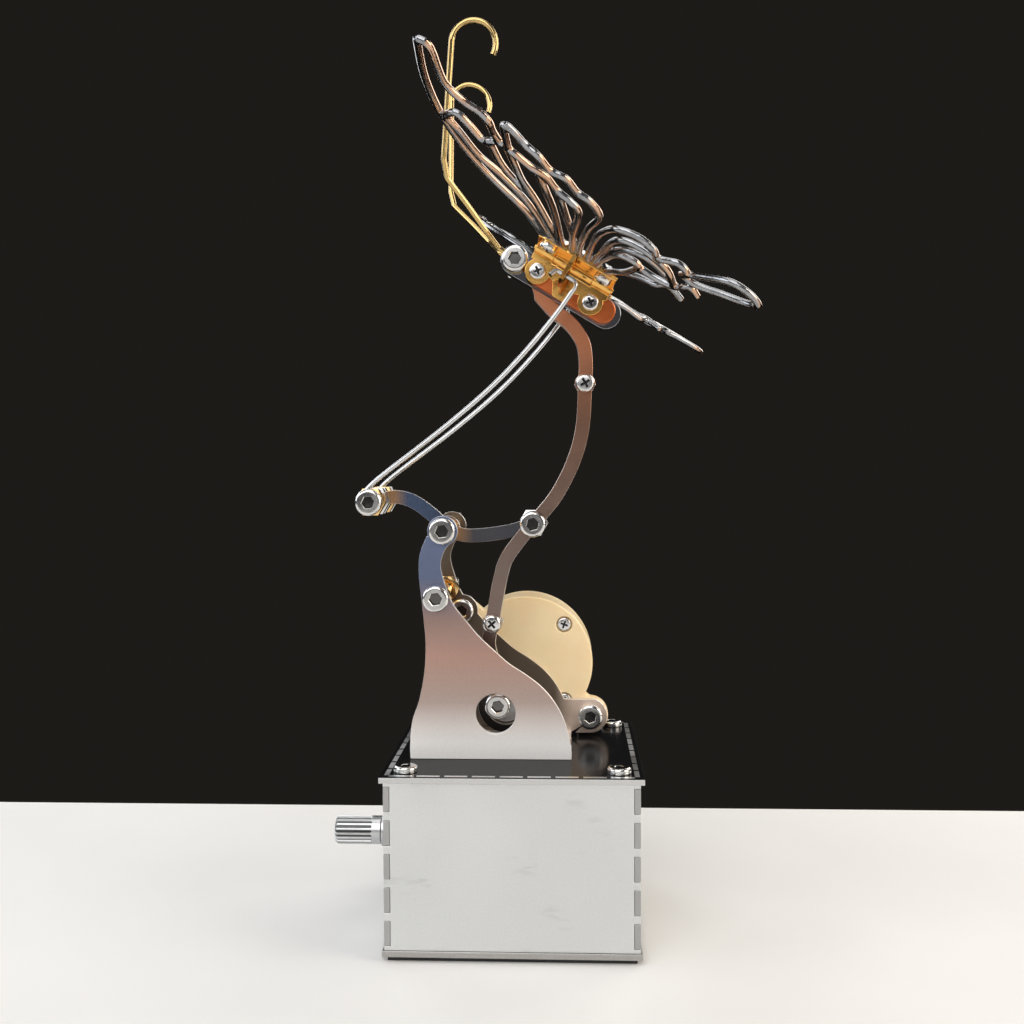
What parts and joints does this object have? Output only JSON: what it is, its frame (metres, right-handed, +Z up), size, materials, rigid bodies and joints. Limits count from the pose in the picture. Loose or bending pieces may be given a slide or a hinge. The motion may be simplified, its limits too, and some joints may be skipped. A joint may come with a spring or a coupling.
{
  "type": "motorised mechanical butterfly",
  "caption": "Kinetic metal butterfly on a square metal box: a geared motor turns an eccentric that lifts a curved arm, rocks a lever and flaps lattice wings through two push rods.",
  "frame": {"origin": "centre of the underside of the foot pad", "axes": "+X to the right seen from the front, +Y to the back, +Z up"},
  "size_m": [0.084, 0.1388, 0.1831],
  "materials": {
    "pad_rubber": "matt black",
    "case_sheet": "fine brushed silver sheet",
    "deck_black": "black mirror gloss with a bare engraved border",
    "steel_plate": "satin stainless sheet",
    "bar_steel": "polished stainless with a warm cast",
    "mirror_plate": "polished plate",
    "bright_fastener": "bright nickel plating",
    "brass_part": "turned brass",
    "nylon": "cream moulded nylon",
    "gear_plastic": "white moulded acetal",
    "steel_can": "bright steel",
    "wire_steel": "bright drawn steel",
    "board_green": "green circuit board",
    "lead_insulation": "flexible insulation",
    "copper_bar": "polished red copper",
    "gold_hinge": "gold-coloured brass",
    "wing_metal": "black nickel gloss"
  },
  "bodies": {
    "case_and_frame": {"base_pad": "pad_rubber", "bottom_plate": "case_sheet", "front_panel": "case_sheet", "rear_panel": "case_sheet", "left_panel": "case_sheet", "right_panel": "case_sheet", "top_plate": "deck_black", "corner_posts": "brass_part", "case_screws": "bright_fastener", "control_board": "board_green", "pot_body": "steel_can", "pot_nut": "bright_fastener", "power_socket": "steel_can", "motor_leads": "lead_insulation", "lead_grommet": "lead_insulation", "front_frame_plate": "steel_plate", "rear_frame_plate": "steel_plate", "foot_screws": "bright_fastener", "frame_bolts": "bright_fastener", "frame_nuts": "bright_fastener", "pivot_spacers": "brass_part", "gearbox_housing": "nylon", "gearbox_cover": "nylon", "cover_screws": "bright_fastener", "motor_can": "steel_can", "mount_bolts": "bright_fastener"},
    "control": {"pot_shaft": "wire_steel"},
    "crank": {"output_gear": "gear_plastic", "eccentric": "steel_can", "crank_bolt": "bright_fastener"},
    "idler": {"idler_gear": "gear_plastic"},
    "pinion": {"motor_pinion": "brass_part"},
    "rocker": {"rocker_plate": "steel_plate", "pushrod_pin": "bright_fastener", "pushrod_pin_nuts": "bright_fastener"},
    "coupler": {"coupler_front": "bar_steel", "coupler_rear": "bar_steel", "coupler_screws": "bright_fastener", "coupler_screw_nuts": "bright_fastener", "coupler_spacers": "bright_fastener", "joint_bolt": "bright_fastener", "joint_washers": "bright_fastener", "body_nuts": "bright_fastener", "body_core": "mirror_plate", "thorax_bars": "copper_bar", "head_bolt": "bright_fastener", "antennae": "gold_hinge", "fixed_leaves": "gold_hinge", "leaf_screws": "bright_fastener", "hinge_pins": "gold_hinge"},
    "wing_near": {"near_wing_leaf": "gold_hinge", "near_wing": "wing_metal", "near_wing_screws": "bright_fastener"},
    "wing_far": {"far_wing_leaf": "gold_hinge", "far_wing": "wing_metal", "far_wing_screws": "bright_fastener"},
    "rod_near": {"near_pushrod": "wire_steel"},
    "rod_far": {"far_pushrod": "wire_steel"}
  },
  "joints": [
    {"name": "crank_spin", "type": "hinge", "parent": "case_and_frame", "child": "crank", "pos_m": [-0.0038, 0, 0.0459], "axis": [0, 1, 0], "continuous": true},
    {"name": "idler_spin", "type": "hinge", "parent": "case_and_frame", "child": "idler", "pos_m": [0.00232, 0, 0.04591], "axis": [0, 1, 0], "continuous": true},
    {"name": "pinion_spin", "type": "hinge", "parent": "case_and_frame", "child": "pinion", "pos_m": [0.0017, 0, 0.0528], "axis": [0, 1, 0], "continuous": true},
    {"name": "control_turn", "type": "hinge", "parent": "case_and_frame", "child": "control", "pos_m": [-0.03, 0, 0.0182], "axis": [-1, 0, 0], "range_deg": [-150, 150]},
    {"name": "rocker_swing", "type": "hinge", "parent": "case_and_frame", "child": "rocker", "pos_m": [-0.0145, 0, 0.0834], "axis": [0, -1, 0], "range_deg": [-5, 5]},
    {"name": "coupler_tilt", "type": "hinge", "parent": "rocker", "child": "coupler", "pos_m": [0.0037, 0, 0.08435], "axis": [0, -1, 0], "range_deg": [-5, 5]},
    {"name": "rod_near_swing", "type": "hinge", "parent": "rocker", "child": "rod_near", "pos_m": [-0.0296, -0.0095, 0.0893], "axis": [0, -1, 0], "range_deg": [-3.91, 3.91]},
    {"name": "rod_far_swing", "type": "hinge", "parent": "rocker", "child": "rod_far", "pos_m": [-0.0296, 0.0095, 0.0893], "axis": [0, -1, 0], "range_deg": [-3.91, 3.91]},
    {"name": "wing_near_flap", "type": "hinge", "parent": "coupler", "child": "wing_near", "pos_m": [0.01245, -0.0064, 0.1368], "axis": [-0.8563, 0, 0.5165], "range_deg": [-24.61, 24.61]},
    {"name": "wing_far_flap", "type": "hinge", "parent": "coupler", "child": "wing_far", "pos_m": [0.01245, 0.0064, 0.1368], "axis": [0.8563, 0, -0.5165], "range_deg": [-24.61, 24.61]}
  ],
  "couplings": [
    {"joint": "idler_spin", "follows": "crank_spin", "ratio": -2},
    {"joint": "pinion_spin", "follows": "crank_spin", "ratio": 4.8},
    {"joint": "coupler_tilt", "follows": "rocker_swing", "ratio": -1},
    {"joint": "rod_near_swing", "follows": "rocker_swing", "ratio": -0.7815},
    {"joint": "rod_far_swing", "follows": "rocker_swing", "ratio": -0.7815},
    {"joint": "wing_near_flap", "follows": "rocker_swing", "ratio": -4.921},
    {"joint": "wing_far_flap", "follows": "rocker_swing", "ratio": -4.921}
  ]
}
